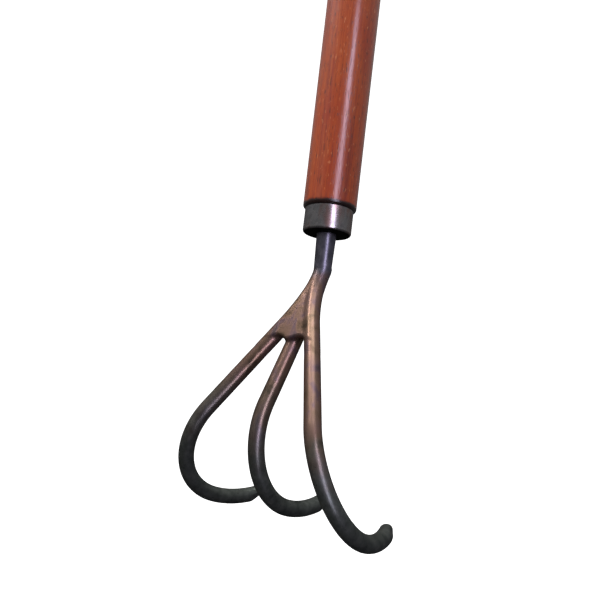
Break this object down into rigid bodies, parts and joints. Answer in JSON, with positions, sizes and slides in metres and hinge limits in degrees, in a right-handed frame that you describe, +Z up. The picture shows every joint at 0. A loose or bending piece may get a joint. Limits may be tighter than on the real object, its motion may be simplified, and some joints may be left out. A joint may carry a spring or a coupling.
{
  "type": "hay rake",
  "caption": "Hand claw rake with round steel tines fanned from a flat palm and hooked forward, on a tang and ferrule in a tapered hardwood handle.",
  "frame": {"origin": "middle of the handle's parallel grip, on the handle's axis", "axes": "+Z up the handle to its butt, +X the way the points of the tines face, +Y to the left tine"},
  "size_m": [0.0709, 0.1118, 0.5622],
  "materials": {
    "varnished_wood": "glossy red-brown varnish over open-pored hardwood",
    "ferrule_steel": "polished steel, darkened",
    "forged_steel": "dark blued steel, satin",
    "palm_steel": "heat-tinted bronze steel, satin",
    "tine_steel": "dark oxidised steel, satin to matt"
  },
  "bodies": {
    "root": {"handle": "varnished_wood", "ferrule": "ferrule_steel", "shank": "forged_steel", "palm": "palm_steel", "left_tine": "tine_steel", "middle_tine": "tine_steel", "right_tine": "tine_steel"}
  },
  "joints": []
}
